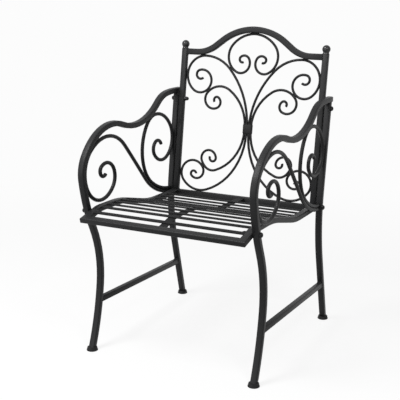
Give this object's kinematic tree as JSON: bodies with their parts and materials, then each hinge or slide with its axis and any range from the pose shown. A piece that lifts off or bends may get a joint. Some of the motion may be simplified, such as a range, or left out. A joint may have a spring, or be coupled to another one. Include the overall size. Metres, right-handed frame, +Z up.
{
  "type": "garden armchair",
  "caption": "Open garden armchair of bent dark metal tube with scrolled rod sides and back, a crested top rail, ball-topped posts and a wavy slatted seat",
  "frame": {"origin": "on the floor, at the middle of the chair's outline seen from above", "axes": "+Z up; the chair faces -Y, with its back towards +Y; +X is the right side as seen by someone who stands in front of the chair"},
  "size_m": [0.574, 0.674, 0.9635],
  "materials": {
    "iron": "satin powder coat, near black",
    "foot_cap": "satin powder coat, near black",
    "fastener": "satin black coat"
  },
  "bodies": {
    "root": {"left_arm_leg_tube": "iron", "left_rear_leg_tube": "iron", "left_stretcher": "iron", "left_front_scroll": "iron", "left_oval_scroll": "iron", "left_front_foot_cap": "foot_cap", "left_rear_foot_cap": "foot_cap", "left_back_post": "iron", "left_ball_finial": "iron", "left_outer_back_rod": "iron", "left_inner_back_rod": "iron", "left_seat_side_rail": "iron", "right_arm_leg_tube": "iron", "right_rear_leg_tube": "iron", "right_stretcher": "iron", "right_front_scroll": "iron", "right_oval_scroll": "iron", "right_front_foot_cap": "foot_cap", "right_rear_foot_cap": "foot_cap", "right_back_post": "iron", "right_ball_finial": "iron", "right_outer_back_rod": "iron", "right_inner_back_rod": "iron", "right_seat_side_rail": "iron", "top_rail": "iron", "back_bottom_rail": "iron", "centre_back_rod": "iron", "collar": "iron", "seat_front_rail": "iron", "centre_strap": "iron", "slat_1": "iron", "slat_2": "iron", "slat_3": "iron", "slat_4": "iron", "slat_5": "iron", "slat_6": "iron", "slat_7": "iron", "slat_8": "iron", "slat_9": "iron", "slat_10": "iron", "slat_11": "iron", "slat_12": "iron", "slat_13": "iron", "front_bolts": "fastener", "upper_bolts": "fastener", "lower_bolts": "fastener", "cap_nuts": "fastener", "spacers": "fastener", "strap_bolt": "fastener", "strap_nut": "fastener"}
  },
  "joints": []
}
